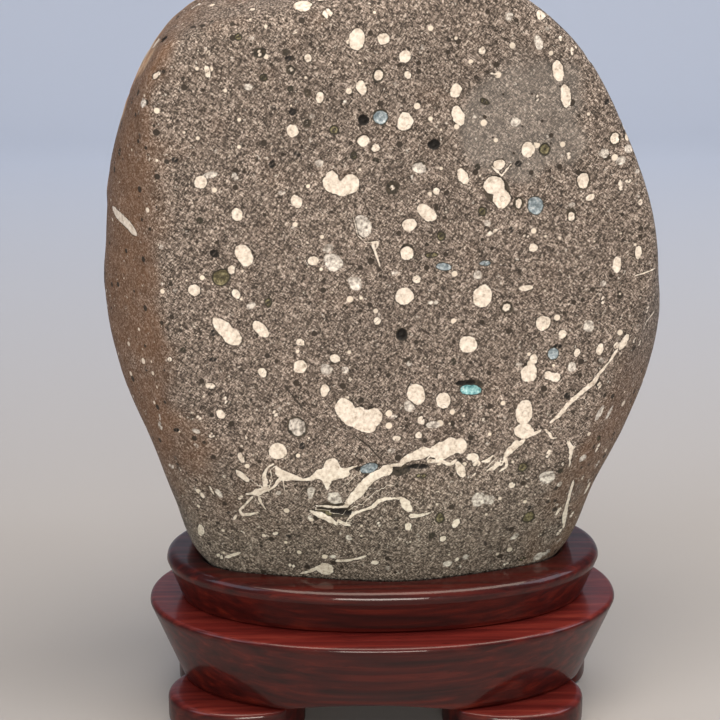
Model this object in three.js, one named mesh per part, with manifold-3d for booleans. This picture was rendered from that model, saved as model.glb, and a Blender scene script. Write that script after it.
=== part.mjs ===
// A scholar's rock standing in its own rosewood stand.
//
// Millimetres. +Z is up and +Y points to the back. The origin is on the table, under the middle
// of the stand. The stone is one solid: a water-worn pebble of basalt with one face ground flat
// and its edges bevelled. It rests in the stand's seat and lifts straight out.
//
// The stand has six pieces, from the table up: four lobed feet, an oval base tier that leans
// outwards, and an oval ring on top of it, carved out to fit the foot of the stone.

import * as THREE from 'three';
import { mergeVertices } from 'three/addons/utils/BufferGeometryUtils.js';
import Module from 'manifold-3d';

const wasm = await Module();
wasm.setup();

// ---------------------------------------------------------------- driving dimensions

const GAP = 0.3; // between pieces that touch
const SEAT_GAP = 0.6; // between the stone and the carved seat

const FOOT_HEIGHT = 12;
const TIER_HEIGHT = 31;
const RING_HEIGHT = 17;

const OVAL_POWER = 2.13; // a little squarer than an ellipse, which has 2
const OVAL_STEPS = 64;

// Half-length along X and half-depth along Y of each oval, at its top and its bottom.
const RING_OVAL = { top: [76.5, 41.5], bottom: [71.3, 36.3] };
const TIER_OVAL = { top: [82.9, 47.9], bottom: [71.6, 36.6] };
const WELL_OVAL = [44, 17]; // the hole in the seat's floor

const RING_EDGE = 3.2; // radius of the ring's rounded top edge
const TIER_EDGE = 1.6; // radius of the tier's top edge

// Each foot's start and end round the oval, in degrees from the stand's side towards its front
// or its back. They were sawn by eye, so no two are quite alike.
const FEET = {
  foot_front_left: { mirror: [-1, -1], span: [3, 62] },
  foot_front_right: { mirror: [1, -1], span: [18, 71] },
  foot_rear_left: { mirror: [-1, 1], span: [7, 68] },
  foot_rear_right: { mirror: [1, 1], span: [4, 63] },
};
const FOOT_BULGE = 13; // how far a foot stands out past the tier above it
const FOOT_INSET = 1.2; // how far a foot's ends stay inside the tier's edge
const FOOT_THICKNESS = 16; // from the tier's edge inwards
const FOOT_ROUND = 4; // radius of a foot's edges

const ARCH_RISE = 3; // how far the tier's lower edge is cut up between two feet
const FRONT_ARCH = { centre: -6, half: 29 }; // across X, and it runs through to the back

// The stone is drawn from this point, which lies inside it: every surface point is a direction
// from here and a distance.
const STONE_CENTRE = new THREE.Vector3(0, 0, 155);

// The stone's widest outline, seen from the front, as [x, z], clockwise from the top.
const STONE_OUTLINE = [
  [-4, 268.5], [17.5, 267], [39.5, 254.5], [59.5, 236], [73.5, 211.5], [83.5, 186.5], [89, 165],
  [93, 144.5], [91, 124.5], [85, 106.5], [73.5, 84], [64.5, 60.5], [41, 45.7], [0, 43.7],
  [-41, 45.7], [-65.5, 60], [-73.5, 82], [-81, 105.5], [-90.5, 129.5], [-95, 152], [-93, 178],
  [-88.5, 207], [-79.5, 230], [-66.5, 249], [-49.5, 262.5], [-26.5, 268],
];

// Flat stretches of the stone, each as three points on its plane.
const STONE_FACETS = [
  [[0, -35, 155], [30, -35, 155], [0, -33, 240]], // the ground face
  [[-76, -34, 188], [-74, -33, 110], [-97, -4, 160]], // bevel on the left
  [[-73, -33, 112], [-60, -22, 66], [-86, -8, 96]], // lower left side
  [[86, -34, 165], [72, -33, 112], [100, -11, 138]], // bevel on the right
  [[68, -33, 108], [59.5, -21, 64], [87, -7, 88]], // lower right side
  [[-61, -17, 60], [0, -32.5, 60], [0, -47, 100]], // foot, left of the middle
  [[59, -21.5, 60], [8, -32.5, 60], [8, -47, 100]], // foot, right of the middle
  [[0, -30, 256], [-40, -29, 250], [0, -8, 264]], // top edge
  [[0, 36, 155], [30, 36, 155], [0, 34, 230]], // back
  [[-60, 36, 170], [-58, 34, 120], [-96, 6, 160]], // back, left
  [[62, 34, 190], [58, 35, 130], [98, 9, 145]], // back, right
  [[0, 32, 225], [-40, 32, 215], [0, 6, 267]], // back, top
  [[40, 31, 215], [64, 28, 190], [62, 6, 236]], // back, top right
  [[-56, 22, 60], [0, 32, 60], [0, 36, 110]], // back of the foot, left
  [[56, 20, 60], [0, 33, 60], [0, 37, 110]], // back of the foot, right
];

const STONE_ROUNDING = 24; // higher is a sharper edge between two facets
const STONE_TURN = 4; // degrees that the stone is turned in its seat, seen from above
const STONE_GRID = { width: 22, depth: 9, height: 26 }; // patches along each side of the solid

// ---------------------------------------------------------------- heights that follow

const tierBottom = FOOT_HEIGHT;
const tierTop = tierBottom + TIER_HEIGHT - GAP;
const ringBottom = tierBottom + TIER_HEIGHT;
const ringTop = ringBottom + RING_HEIGHT;
const TURN = 2 * Math.PI;
const degrees = THREE.MathUtils.degToRad;

// ---------------------------------------------------------------- solids

// A closed geometry with its shared vertices merged, as a solid that can be cut and joined.
function toSolid(geometry) {
  const plain = geometry.clone();
  plain.deleteAttribute('normal');
  plain.deleteAttribute('uv');
  const merged = mergeVertices(plain, 1e-4);
  return new wasm.Manifold(new wasm.Mesh({
    numProp: 3,
    vertProperties: new Float32Array(merged.attributes.position.array),
    triVerts: new Uint32Array(merged.index.array),
  }));
}

function toGeometry(solid) {
  const mesh = solid.getMesh();
  const geometry = new THREE.BufferGeometry();
  geometry.setAttribute('position', new THREE.BufferAttribute(mesh.vertProperties, mesh.numProp));
  geometry.setIndex(new THREE.BufferAttribute(mesh.triVerts, 1));
  return geometry;
}

// Moves every vertex of a geometry to the place that a function gives for it.
function reshape(geometry, place) {
  const position = geometry.attributes.position;
  const point = new THREE.Vector3();
  for (let i = 0; i < position.count; i++) {
    point.fromBufferAttribute(position, i);
    place(point);
    position.setXYZ(i, point.x, point.y, point.z);
  }
  return geometry;
}

// ---------------------------------------------------------------- the stone

// Distance from the centre to the outline at each of its points, in order of angle.
const outlinePoints = STONE_OUTLINE
  .map(([x, z]) => new THREE.Vector2(x, z - STONE_CENTRE.z))
  .map((p) => ({ angle: Math.atan2(p.y, p.x), radius: p.length() }))
  .sort((a, b) => a.angle - b.angle);

// The outline's distance at any angle: a smooth curve through its points, with the slope at each
// point taken from its two neighbours.
function outlineRadius(angle) {
  const count = outlinePoints.length;
  const at = (i) => {
    const lap = Math.floor(i / count);
    const point = outlinePoints[i - lap * count];
    return { angle: point.angle + lap * TURN, radius: point.radius };
  };
  const slope = (i) => (at(i + 1).radius - at(i - 1).radius) / (at(i + 1).angle - at(i - 1).angle);
  const turned = THREE.MathUtils.euclideanModulo(angle - at(0).angle, TURN) + at(0).angle;
  let i = 0;
  while (at(i + 1).angle <= turned) i++;
  const span = at(i + 1).angle - at(i).angle;
  const u = (turned - at(i).angle) / span;
  return (1 + 2 * u) * (1 - u) ** 2 * at(i).radius
    + u * (1 - u) ** 2 * span * slope(i)
    + u * u * (3 - 2 * u) * at(i + 1).radius
    + u * u * (u - 1) * span * slope(i + 1);
}

// Each facet as a unit normal that points out of the stone and a distance from the centre.
const facetPlanes = STONE_FACETS.map((corners) => {
  const [a, b, c] = corners.map((p) => new THREE.Vector3(...p).sub(STONE_CENTRE));
  const plane = new THREE.Plane().setFromCoplanarPoints(a, b, c);
  if (plane.constant > 0) plane.negate();
  return { normal: plane.normal, distance: -plane.constant };
});

// Distance from the centre to the stone's surface along a unit direction. The outline and the
// facets each give a limit, and a high power blends them into one body with rounded edges.
// A grown stone lies that much further out everywhere.
function stoneRadius(direction, grow) {
  const across = Math.hypot(direction.x, direction.z);
  const outline = outlineRadius(Math.atan2(direction.z, direction.x)) + grow;
  let sum = (across / outline) ** STONE_ROUNDING;
  for (const { normal, distance } of facetPlanes) {
    const towards = Math.max(0, normal.dot(direction));
    sum += (towards / (distance + grow)) ** STONE_ROUNDING;
  }
  return sum ** (-1 / STONE_ROUNDING);
}

function stoneGeometry(grow = 0) {
  const { width, depth, height } = STONE_GRID;
  const box = new THREE.BoxGeometry(width, depth, height, width, depth, height);
  const stone = reshape(box, (point) => {
    point.normalize();
    point.multiplyScalar(stoneRadius(point, grow)).add(STONE_CENTRE);
  });
  return stone.rotateZ(degrees(STONE_TURN));
}

// ---------------------------------------------------------------- ovals

// A point of the oval with the given half-axes, at an angle round it.
function ovalPoint(halfX, halfY, angle) {
  const bend = (value) => Math.sign(value) * Math.abs(value) ** (2 / OVAL_POWER);
  return new THREE.Vector2(halfX * bend(Math.cos(angle)), halfY * bend(Math.sin(angle)));
}

// A solid turned from a profile of [half-length along X, height], then drawn into an oval. The
// half-depth stays the same amount less than the half-length, so walls keep an even lean.
function ovalSolid(profile, narrower) {
  const onAxis = ([, z]) => new THREE.Vector2(0, z);
  const points = [
    onAxis(profile[0]),
    ...profile.map(([x, z]) => new THREE.Vector2(x, z)),
    onAxis(profile[profile.length - 1]),
  ];
  const lathe = new THREE.LatheGeometry(points, OVAL_STEPS);
  lathe.rotateX(Math.PI / 2);
  return toSolid(reshape(lathe, (point) => {
    const halfX = Math.hypot(point.x, point.y);
    const plan = ovalPoint(halfX, Math.max(0, halfX - narrower), Math.atan2(point.y, point.x));
    point.set(plan.x, plan.y, point.z);
  }));
}

// A wall that leans from its bottom oval out to its top one, ending in a rounded top edge.
function leaningProfile(oval, bottom, top, edge, steps) {
  const profile = [[oval.bottom[0], bottom]];
  for (let i = 0; i <= steps; i++) {
    const turn = (i / steps) * (Math.PI / 2);
    profile.push([
      oval.top[0] - edge * (1 - Math.cos(turn)),
      top - edge * (1 - Math.sin(turn)),
    ]);
  }
  return profile;
}

const narrowerBy = (halves) => halves[0] - halves[1];

// ---------------------------------------------------------------- the stand

function ringGeometry() {
  const profile = leaningProfile(RING_OVAL, ringBottom, ringTop, RING_EDGE, 5);
  const blank = ovalSolid(profile, narrowerBy(RING_OVAL.top));
  const well = ovalSolid(
    [[WELL_OVAL[0], ringBottom - 5], [WELL_OVAL[0], ringBottom + 5]],
    narrowerBy(WELL_OVAL),
  );
  const seat = toSolid(stoneGeometry(SEAT_GAP)).add(well);
  return toGeometry(blank.subtract(seat));
}

// The space under the shallow arch, as a bar that runs right through the stand along Y.
function archBar() {
  const { centre, half } = FRONT_ARCH;
  const radius = (half ** 2 + ARCH_RISE ** 2) / (2 * ARCH_RISE);
  const open = Math.asin(half / radius);
  const section = new THREE.Shape();
  section.absarc(0, ARCH_RISE - radius, radius, Math.PI / 2 - open, Math.PI / 2 + open);
  section.lineTo(-half, -ARCH_RISE);
  section.lineTo(half, -ARCH_RISE);
  const length = 3 * TIER_OVAL.top[1];
  const bar = new THREE.ExtrudeGeometry(section, {
    depth: length,
    bevelEnabled: false,
    curveSegments: 12,
  });
  bar.translate(centre, 0, -length / 2);
  bar.rotateX(Math.PI / 2);
  return bar.translate(0, 0, tierBottom);
}

function tierGeometry() {
  const profile = leaningProfile(TIER_OVAL, tierBottom, tierTop, TIER_EDGE, 3);
  const tier = ovalSolid(profile, narrowerBy(TIER_OVAL.top));
  return toGeometry(tier.subtract(toSolid(archBar())));
}

// One foot, seen from above: its outer side swells from the tier's edge into a lobe and comes
// back to it, and its inner side runs parallel to the edge.
function footGeometry({ mirror, span }) {
  const outerSteps = 14;
  const innerSteps = 6;
  const [halfX, halfY] = TIER_OVAL.bottom;
  const at = (share, outwards) => {
    const angle = degrees(THREE.MathUtils.lerp(...span, share));
    const plan = ovalPoint(halfX + outwards, halfY + outwards, angle);
    return plan.multiply(new THREE.Vector2(...mirror));
  };
  const lobe = (share) => FOOT_BULGE * Math.sin(Math.PI * share) ** 0.8 - FOOT_INSET;
  const outline = [];
  for (let i = 0; i <= outerSteps; i++) outline.push(at(i / outerSteps, lobe(i / outerSteps)));
  for (let i = innerSteps; i >= 0; i--) outline.push(at(i / innerSteps, -FOOT_THICKNESS));
  const foot = new THREE.ExtrudeGeometry(new THREE.Shape(outline), {
    depth: FOOT_HEIGHT - GAP - 2 * FOOT_ROUND,
    bevelThickness: FOOT_ROUND,
    bevelSize: FOOT_ROUND,
    bevelOffset: -FOOT_ROUND,
    bevelSegments: 3,
  });
  foot.translate(0, 0, FOOT_ROUND);
  return toGeometry(toSolid(foot));
}

// ---------------------------------------------------------------- the scene graph

const dull = (color, roughness) => new THREE.MeshStandardMaterial({ color, roughness, metalness: 0 });
const basalt = () => dull('#7d6f61', 0.85);
const rosewood = () => dull('#57211d', 0.35);

function named(name, geometry, material) {
  const mesh = new THREE.Mesh(geometry, material);
  mesh.name = name;
  return mesh;
}

const part = new THREE.Group();
part.add(
  named('stone', toGeometry(toSolid(stoneGeometry())), basalt()),
  named('seat_ring', ringGeometry(), rosewood()),
  named('base_tier', tierGeometry(), rosewood()),
);
for (const [name, shape] of Object.entries(FEET)) {
  part.add(named(name, footGeometry(shape), rosewood()));
}

export default part;
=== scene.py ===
# %% [markdown]
# # A scholar's rock on its rosewood stand
#
# The real object has two parts. The stone is a basalt pebble with one face ground flat, so that the
# gas bubbles in the old lava show as cream spots, where a mineral filled them, and as small dark
# pits, where it didn't. The stand is rosewood: a carved ring that holds the stone's foot, a wider
# tier below it, and four lobed feet.
#
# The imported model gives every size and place. It is loaded first and stays fixed. Each visible
# piece is then a finer surface, worked out from the same few dimensions in millimetres.

import math

import bpy
import numpy as np
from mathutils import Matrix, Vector


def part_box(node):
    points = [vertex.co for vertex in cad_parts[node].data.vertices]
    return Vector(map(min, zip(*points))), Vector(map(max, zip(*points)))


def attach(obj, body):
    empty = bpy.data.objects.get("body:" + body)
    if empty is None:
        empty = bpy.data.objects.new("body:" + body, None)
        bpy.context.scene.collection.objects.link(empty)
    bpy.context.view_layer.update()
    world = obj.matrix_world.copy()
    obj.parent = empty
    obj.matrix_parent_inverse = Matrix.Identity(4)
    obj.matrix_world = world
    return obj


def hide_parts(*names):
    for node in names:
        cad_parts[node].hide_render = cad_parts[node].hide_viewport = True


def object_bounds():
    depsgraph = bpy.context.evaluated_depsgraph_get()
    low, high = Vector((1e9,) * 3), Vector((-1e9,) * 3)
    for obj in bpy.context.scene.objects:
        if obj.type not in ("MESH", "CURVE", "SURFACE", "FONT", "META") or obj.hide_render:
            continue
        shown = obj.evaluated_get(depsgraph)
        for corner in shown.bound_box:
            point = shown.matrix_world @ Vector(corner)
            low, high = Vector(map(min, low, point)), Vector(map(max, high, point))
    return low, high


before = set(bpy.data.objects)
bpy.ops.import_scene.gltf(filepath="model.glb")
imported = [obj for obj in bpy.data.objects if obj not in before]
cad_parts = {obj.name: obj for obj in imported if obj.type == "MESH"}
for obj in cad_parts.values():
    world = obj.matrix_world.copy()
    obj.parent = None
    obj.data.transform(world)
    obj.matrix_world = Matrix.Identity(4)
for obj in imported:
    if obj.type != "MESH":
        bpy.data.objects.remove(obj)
cad_box = [list(corner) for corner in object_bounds()]
MM = 0.001
print("frame, in mm:", [[round(v / MM, 1) for v in corner] for corner in cad_box])

# %% [markdown]
# ## Camera
#
# A lens of about 87 mm, 60 cm from the object, gives calm perspective. The camera looks down a
# little, so the ledges of the stand show, and it stands two degrees left of straight on. It could be
# aimed by a constraint, but one fixed rotation is simpler to read and never moves.

# %% Camera
CAMERA_TURN = math.radians(-2.0)
CAMERA_RISE = math.radians(17.64)
CAMERA_DISTANCE = 600 * MM
CAMERA_LENS = 87.37  # mm, on a sensor 36 mm wide
AIM_SIDE = -8.17 * MM
AIM_SHARE = 0.4847  # of the object's height

object_low, object_high = (Vector(corner) for corner in cad_box)
aim = Vector((AIM_SIDE, 0, object_low.z + AIM_SHARE * (object_high.z - object_low.z)))
backwards = Vector((
    math.sin(CAMERA_TURN) * math.cos(CAMERA_RISE),
    -math.cos(CAMERA_TURN) * math.cos(CAMERA_RISE),
    math.sin(CAMERA_RISE),
))
camera = bpy.data.objects.new("camera", bpy.data.cameras.new("camera"))
camera.data.lens = CAMERA_LENS
camera.data.sensor_width = 36
camera.location = aim + CAMERA_DISTANCE * backwards
camera.rotation_euler = backwards.to_track_quat("Z", "Y").to_euler()
bpy.context.scene.collection.objects.link(camera)
bpy.context.scene.camera = camera
print("camera at, in mm:", [round(v / MM) for v in camera.location])

# %% [markdown]
# ## Small helpers
#
# Colours are written as the hex values that a screen shows. Blender mixes light in linear values,
# so one function turns them. A mesh is filled from whole numpy arrays, which is quick, and a node
# is added with its settings and links in one call.

# %% Helpers
def srgb(code):
    """Linear RGBA of a hex colour: each part is divided by 255, and then the sRGB curve is undone."""
    parts = [int(code[i:i + 2], 16) / 255 for i in (1, 3, 5)]
    linear = [p / 12.92 if p <= 0.04045 else ((p + 0.055) / 1.055) ** 2.4 for p in parts]
    return (*linear, 1.0)


def add(tree, kind, inputs=None, stops=(), **settings):
    """Adds one shader node with its settings, its inputs and, for a colour ramp, its stops as
    (position, hex colour). An input is a value, a socket, or a node, whose first live output is
    linked."""
    new = tree.nodes.new("ShaderNode" + kind)
    for name, value in settings.items():
        setattr(new, name, value)
    for key, value in (inputs or {}).items():
        if isinstance(value, bpy.types.Node):
            value = next(socket for socket in value.outputs if socket.enabled)
        if isinstance(value, bpy.types.NodeSocket):
            tree.links.new(value, new.inputs[key])
        else:
            new.inputs[key].default_value = value
    for number, (position, code) in enumerate(stops):
        elements = new.color_ramp.elements
        element = elements[number] if number < 2 else elements.new(position)
        element.position = position
        element.color = srgb(code)
    return new


def add_mesh(name, points_mm, faces):
    """A smooth-shaded object from an array of points in mm and an array of faces of one size."""
    mesh = bpy.data.meshes.new(name)
    sides = faces.shape[1]
    mesh.vertices.add(len(points_mm))
    mesh.vertices.foreach_set("co", (points_mm * MM).astype(np.float32).ravel())
    mesh.loops.add(faces.size)
    mesh.loops.foreach_set("vertex_index", faces.astype(np.int32).ravel())
    mesh.polygons.add(len(faces))
    mesh.polygons.foreach_set("loop_start", np.arange(0, faces.size, sides, dtype=np.int32))
    mesh.polygons.foreach_set("use_smooth", np.ones(len(faces), dtype=bool))
    mesh.update(calc_edges=True)
    mesh.validate()
    piece = bpy.data.objects.new(name, mesh)
    bpy.context.scene.collection.objects.link(piece)
    print(name, "has", len(points_mm), "points and", len(faces) * (sides - 2), "triangles")
    return piece


def add_attribute(piece, name, values):
    """Stores one number for each point of a piece, which its material can read by name."""
    attribute = piece.data.attributes.new(name, "FLOAT", "POINT")
    attribute.data.foreach_set("value", np.asarray(values, dtype=np.float32))


def grid_quads(rows, columns):
    """Faces of a grid of (rows + 1) x (columns + 1) points, numbered row by row."""
    corner = np.arange(rows)[:, None] * (columns + 1) + np.arange(columns)[None, :]
    corner = corner.ravel()
    return np.stack([corner, corner + 1, corner + columns + 2, corner + columns + 1], axis=1)


def smoothstep(low, high, values):
    """Rises from 0 at low to 1 at high, level at both ends."""
    share = np.clip((values - low) / (high - low), 0, 1)
    return share * share * (3 - 2 * share)


def rough(points, cell, seed):
    """Smooth random values from -1 to 1 in space: a random number at each corner of a cubic lattice
    with the given cell in mm, blended across each cell with the smoothstep curve."""
    size = 48
    lattice = np.random.default_rng(seed).uniform(-1, 1, (size, size, size))
    scaled = points / cell + 1000
    corner = np.floor(scaled).astype(int)
    share = smoothstep(0, 1, scaled - corner)
    total = np.zeros(len(points))
    for step in np.ndindex(2, 2, 2):
        weight = np.where(np.array(step) == 1, share, 1 - share).prod(axis=1)
        total += weight * lattice[tuple(((corner + step) % size).T)]
    return total


# %% [markdown]
# ## The stone's shape
#
# A pebble has no edges to extrude and no axis to turn, so it is drawn from a point inside: each
# direction from there has one distance to the surface. The widest outline gives one limit and each
# flat stretch gives another, and a high power blends them into one body with rounded edges:
# one over the distance to that power is the sum of the same power of one over each limit.
# It could be sculpted, but a formula gives the same stone at any fineness. These are the dimensions
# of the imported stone, so the fine surface lies on the plain one.

# %% Stone: dimensions
STONE_CENTRE = np.array([0.0, 0.0, 155.0])
STONE_OUTLINE = [
    (-4, 268.5), (17.5, 267), (39.5, 254.5), (59.5, 236), (73.5, 211.5), (83.5, 186.5), (89, 165),
    (93, 144.5), (91, 124.5), (85, 106.5), (73.5, 84), (64.5, 60.5), (41, 45.7), (0, 43.7),
    (-41, 45.7), (-65.5, 60), (-73.5, 82), (-81, 105.5), (-90.5, 129.5), (-95, 152), (-93, 178),
    (-88.5, 207), (-79.5, 230), (-66.5, 249), (-49.5, 262.5), (-26.5, 268),
]
STONE_FACETS = [
    [(0, -35, 155), (30, -35, 155), (0, -33, 240)],  # the ground face
    [(-76, -34, 188), (-74, -33, 110), (-97, -4, 160)],  # bevel on the left
    [(-73, -33, 112), (-60, -22, 66), (-86, -8, 96)],  # lower left side
    [(86, -34, 165), (72, -33, 112), (100, -11, 138)],  # bevel on the right
    [(68, -33, 108), (59.5, -21, 64), (87, -7, 88)],  # lower right side
    [(-61, -17, 60), (0, -32.5, 60), (0, -47, 100)],  # foot, left of the middle
    [(59, -21.5, 60), (8, -32.5, 60), (8, -47, 100)],  # foot, right of the middle
    [(0, -30, 256), (-40, -29, 250), (0, -8, 264)],  # top edge
    [(0, 36, 155), (30, 36, 155), (0, 34, 230)],  # back
    [(-60, 36, 170), (-58, 34, 120), (-96, 6, 160)],  # back, left
    [(62, 34, 190), (58, 35, 130), (98, 9, 145)],  # back, right
    [(0, 32, 225), (-40, 32, 215), (0, 6, 267)],  # back, top
    [(40, 31, 215), (64, 28, 190), (62, 6, 236)],  # back, top right
    [(-56, 22, 60), (0, 32, 60), (0, 36, 110)],  # back of the foot, left
    [(56, 20, 60), (0, 33, 60), (0, 37, 110)],  # back of the foot, right
]
STONE_ROUNDING = 24
STONE_TURN = math.radians(4)  # seen from above


# %% Stone: distance to the surface
def outline_radius(angle):
    """Distance from the centre to the outline: a smooth curve through the outline's points in
    polar form, whose slope at each point is the one between its two neighbours."""
    points = np.array(STONE_OUTLINE) - STONE_CENTRE[[0, 2]]
    around = np.arctan2(points[:, 1], points[:, 0])
    order = np.argsort(around)
    around = around[order]
    reach = np.hypot(*points[order].T)
    turn = 2 * math.pi
    around = np.concatenate([around[-2:] - turn, around, around[:3] + turn])
    reach = np.concatenate([reach[-2:], reach, reach[:3]])
    slope = np.zeros(len(reach))
    slope[1:-1] = (reach[2:] - reach[:-2]) / (around[2:] - around[:-2])
    i = np.searchsorted(around, angle, side="right") - 1
    span = around[i + 1] - around[i]
    u = (angle - around[i]) / span
    return (
        (1 + 2 * u) * (1 - u) ** 2 * reach[i] + u * (1 - u) ** 2 * span * slope[i]
        + u * u * (3 - 2 * u) * reach[i + 1] + u * u * (u - 1) * span * slope[i + 1]
    )


def stone_radius(directions):
    """Distance to the surface along unit directions, by the blend described above."""
    flat = np.hypot(directions[:, 0], directions[:, 2])
    outline = outline_radius(np.arctan2(directions[:, 2], directions[:, 0]))
    total = (flat / outline) ** STONE_ROUNDING
    for corners in STONE_FACETS:
        a, b, c = (np.array(corner, dtype=float) - STONE_CENTRE for corner in corners)
        normal = np.cross(b - a, c - a)
        normal /= np.linalg.norm(normal)
        distance = normal @ a
        towards = np.maximum(0, directions @ (normal * np.sign(distance)))
        total += (towards / abs(distance)) ** STONE_ROUNDING
    return total ** (-1 / STONE_ROUNDING)


# %% [markdown]
# ## The stone's grid
#
# Its points are directions through a small box, as when a box is blown up onto the stone: a grid on
# the box's front becomes an even grid on the ground face. An icosphere would spread its points
# evenly over all of it, but the ground face carries the detail. So the front has the fine grid, a
# belt goes back over the bevels, one row of triangles halves the count, and the back is coarser.

# %% Stone: grid
BOX = np.array([11.0, 4.5, 13.0])  # half-sizes of the box
FINE_ACROSS, FINE_UP = 216, 256
FINE_ROWS, COARSE_ROWS = 16, 24
BELT_SPLIT = -0.38  # where the fine belt ends, from -1 at the front to 1 at the back


def rim_loop(across, up):
    """Points once round the rim of a square from -1 to 1, closed, counter-clockwise."""
    x = np.linspace(-1, 1, across + 1)
    z = np.linspace(-1, 1, up + 1)
    sides = [
        (x[:-1], -np.ones(across)), (np.ones(up), z[:-1]),
        (-x[:-1], np.ones(across)), (-np.ones(up), -z[:-1]),
    ]
    loop = np.concatenate([np.stack(side, axis=1) for side in sides])
    return np.concatenate([loop, loop[:1]])


def cap(across, up, y):
    """A flat grid over the square at depth y."""
    z, x = np.meshgrid(np.linspace(-1, 1, up + 1), np.linspace(-1, 1, across + 1), indexing="ij")
    return np.stack([x.ravel(), np.full(x.size, y), z.ravel()], axis=1), grid_quads(up, across)


def belt(across, up, depths):
    """A grid round the box's sides, one closed loop at each depth."""
    loop = rim_loop(across, up)
    x = np.tile(loop[:, 0], len(depths))
    z = np.tile(loop[:, 1], len(depths))
    y = np.repeat(depths, len(loop))
    return np.stack([x, y, z], axis=1), grid_quads(len(depths) - 1, len(loop) - 1)


def halving_row(across, up, fine_y, coarse_y):
    """Three triangles join every two steps of a fine loop to one step of a coarse loop."""
    fine = rim_loop(across, up)
    coarse = fine[::2]
    points = np.concatenate([
        np.stack([fine[:, 0], np.full(len(fine), fine_y), fine[:, 1]], axis=1),
        np.stack([coarse[:, 0], np.full(len(coarse), coarse_y), coarse[:, 1]], axis=1),
    ])
    i = np.arange(len(coarse) - 1)
    f, c = 2 * i, len(fine) + i
    triangles = np.concatenate([
        np.stack([f, f + 1, c], axis=1),
        np.stack([f + 1, f + 2, c + 1], axis=1),
        np.stack([f + 1, c + 1, c], axis=1),
    ])
    return points, triangles


def stone_grid():
    """Unit directions and triangles of the whole closed grid."""
    fine_depths = np.linspace(-1, BELT_SPLIT, FINE_ROWS + 1)
    coarse_depths = np.linspace(BELT_SPLIT, 1, COARSE_ROWS + 1)[1:]
    half_across, half_up = FINE_ACROSS // 2, FINE_UP // 2
    patches = [
        cap(FINE_ACROSS, FINE_UP, -1),
        belt(FINE_ACROSS, FINE_UP, fine_depths),
        halving_row(FINE_ACROSS, FINE_UP, fine_depths[-1], coarse_depths[0]),
        belt(half_across, half_up, coarse_depths),
        cap(half_across, half_up, 1),
    ]
    points, triangles, count = [], [], 0
    for patch_points, faces in patches:
        if faces.shape[1] == 4:
            faces = np.concatenate([faces[:, [0, 1, 2]], faces[:, [0, 2, 3]]])
        points.append(patch_points)
        triangles.append(faces + count)
        count += len(patch_points)
    points = np.concatenate(points)
    triangles = np.concatenate(triangles)
    _, first, same = np.unique(np.round(points, 6), axis=0, return_index=True, return_inverse=True)
    triangles = same.ravel()[triangles]
    directions = points[first] * BOX
    directions /= np.linalg.norm(directions, axis=1, keepdims=True)
    return directions, triangles


def point_outwards(points, triangles, centre):
    """Turns round each triangle that faces the centre, which suits a body seen whole from there."""
    a, b, c = (points[triangles[:, i]] for i in range(3))
    inwards = (np.cross(b - a, c - a) * (a - centre)).sum(axis=1) < 0
    triangles[inwards] = triangles[inwards][:, ::-1]
    return triangles


def point_normals(points, triangles):
    """Unit normals at the points: the sum of the area normals of the triangles round each one."""
    a, b, c = (points[triangles[:, i]] for i in range(3))
    area = np.cross(b - a, c - a)
    normals = np.zeros_like(points)
    for corner in range(3):
        for axis in range(3):
            normals[:, axis] += np.bincount(triangles[:, corner], area[:, axis], len(points))
    return normals / np.linalg.norm(normals, axis=1, keepdims=True)


directions, stone_triangles = stone_grid()
skin = directions * stone_radius(directions)[:, None]
stone_triangles = point_outwards(skin, stone_triangles, np.zeros(3))
skin_normals = point_normals(skin, stone_triangles)
skin += STONE_CENTRE
print("stone, smooth:", len(skin), "points,", skin.min(axis=0).round(1), skin.max(axis=0).round(1))

# %% [markdown]
# ## What fills the bubbles
#
# An amygdule is a gas bubble that a mineral filled. The bubble is roughly an ellipsoid, and the
# ground face shows its section. So each one is an ellipsoid set on the surface, given by its place
# across and up the stone, its width, its height and its tilt in degrees. The markings could be
# painted as an image, but then their edges would be no crisper than that image. Here each point of
# the mesh holds its distance to the nearest edge, in mm and negative inside, and the material draws
# the edge where that distance is zero, which stays sharp however close the camera comes.

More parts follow.
